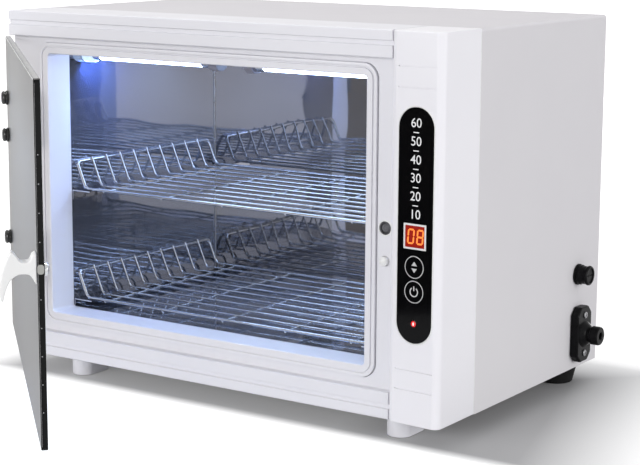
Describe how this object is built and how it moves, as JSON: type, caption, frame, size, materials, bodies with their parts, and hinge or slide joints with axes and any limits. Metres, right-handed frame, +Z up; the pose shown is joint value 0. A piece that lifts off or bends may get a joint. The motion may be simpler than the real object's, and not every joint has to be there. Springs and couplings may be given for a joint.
{
  "type": "uv sterilizer cabinet",
  "caption": "Bench-top ultraviolet sterilizer: steel cabinet with a hinged dark glass door, mirror-lined chamber, chromed wire racks on rails, lamps under the ceiling and a control column.",
  "frame": {"origin": "the centre of the underside of the base panel, which is also the middle of the case in plan", "axes": "+Z up; +X from the hinge side to the control column as seen from the front; +Y from the door to the back"},
  "size_m": [0.4888, 0.5839, 0.3345],
  "materials": {
    "white_plastic": "satin moulded white",
    "white_paint": "satin white powder coat",
    "mirror_steel": "mirror polished",
    "chrome_wire": "bright chrome plate",
    "dark_glass": "smoked, polished",
    "black_plastic": "satin black",
    "black_rubber": "matt",
    "handle_plastic": "gloss white",
    "steel": "bright zinc",
    "ballast_steel": "galvanised",
    "magnet": "sintered grey",
    "lamp_glass": "clear quartz",
    "red_lens": "clear red",
    "circuit_board": "solder mask"
  },
  "bodies": {
    "cabinet": {"ballast": "ballast_steel", "base_panel": "white_paint", "case_wrap": "white_paint", "chamber_back_mirror": "mirror_steel", "chamber_ceiling": "mirror_steel", "chamber_floor": "mirror_steel", "chamber_left_wall": "mirror_steel", "chamber_right_wall": "mirror_steel", "control_board": "circuit_board", "control_column": "white_plastic", "display_frame": "white_plastic", "display_window": "red_lens", "face_moulding": "white_plastic", "front_foot_left": "white_plastic", "front_foot_right": "white_plastic", "fuse": "steel", "fuse_holder": "black_plastic", "fuse_holder_nut": "black_plastic", "inlet_block": "black_plastic", "inlet_gland": "black_plastic", "inlet_screw_1": "steel", "inlet_screw_2": "steel", "left_lamp_holder_1": "white_plastic", "left_lamp_holder_2": "white_plastic", "lower_hinge_frame_leaf": "steel", "lower_hinge_pin": "steel", "lower_rail_left": "mirror_steel", "lower_rail_right": "mirror_steel", "magnet_catch": "magnet", "panel_overlay": "black_plastic", "power_light": "red_lens", "rear_foot_left": "black_rubber", "rear_foot_right": "black_rubber", "rear_panel": "white_paint", "right_lamp_holder_1": "white_plastic", "right_lamp_holder_2": "white_plastic", "switch_body": "black_plastic", "upper_hinge_frame_leaf": "steel", "upper_hinge_pin": "steel", "upper_rail_left": "mirror_steel", "upper_rail_right": "mirror_steel", "uv_tube_left": "lamp_glass", "uv_tube_right": "lamp_glass"},
    "door": {"door_glass": "dark_glass", "door_handle": "handle_plastic", "striker_screw": "steel", "upper_hinge_door_leaf": "steel", "lower_hinge_door_leaf": "steel", "upper_hinge_nut_1": "black_plastic", "upper_hinge_nut_2": "black_plastic", "lower_hinge_nut_1": "black_plastic", "lower_hinge_nut_2": "black_plastic"},
    "upper_rack_body": {"upper_rack": "chrome_wire"},
    "lower_rack_body": {"lower_rack": "chrome_wire"},
    "select_key": {"select_button": "black_plastic"},
    "power_key": {"power_button": "black_plastic"},
    "plunger_body": {"switch_plunger": "white_plastic"},
    "fuse_cap_body": {"fuse_cap": "black_plastic"}
  },
  "joints": [
    {"name": "door_hinge", "type": "hinge", "parent": "cabinet", "child": "door", "pos_m": [-0.2288, -0.13675, 0.159], "axis": [0, 0, -1], "range_deg": [-43.6, 71.4]},
    {"name": "upper_rack_slide", "type": "slide", "parent": "cabinet", "child": "upper_rack_body", "axis": [0, -1, 0], "range_m": [0, 0.03]},
    {"name": "lower_rack_slide", "type": "slide", "parent": "cabinet", "child": "lower_rack_body", "axis": [0, -1, 0], "range_m": [0, 0.03]},
    {"name": "select_press", "type": "slide", "parent": "cabinet", "child": "select_key", "axis": [0.0704, 0.9975, 0], "range_m": [0, 0.0006], "stiffness_N_per_m": 600},
    {"name": "power_press", "type": "slide", "parent": "cabinet", "child": "power_key", "axis": [0.0704, 0.9975, 0], "range_m": [0, 0.0006], "stiffness_N_per_m": 600},
    {"name": "door_switch", "type": "slide", "parent": "cabinet", "child": "plunger_body", "axis": [0, 1, 0], "range_m": [0, 0.0035], "stiffness_N_per_m": 300},
    {"name": "fuse_cap_turn", "type": "hinge", "parent": "cabinet", "child": "fuse_cap_body", "pos_m": [0.2323, 0.099, 0.0865], "axis": [1, 0, 0], "range_deg": [-90, 90]}
  ]
}
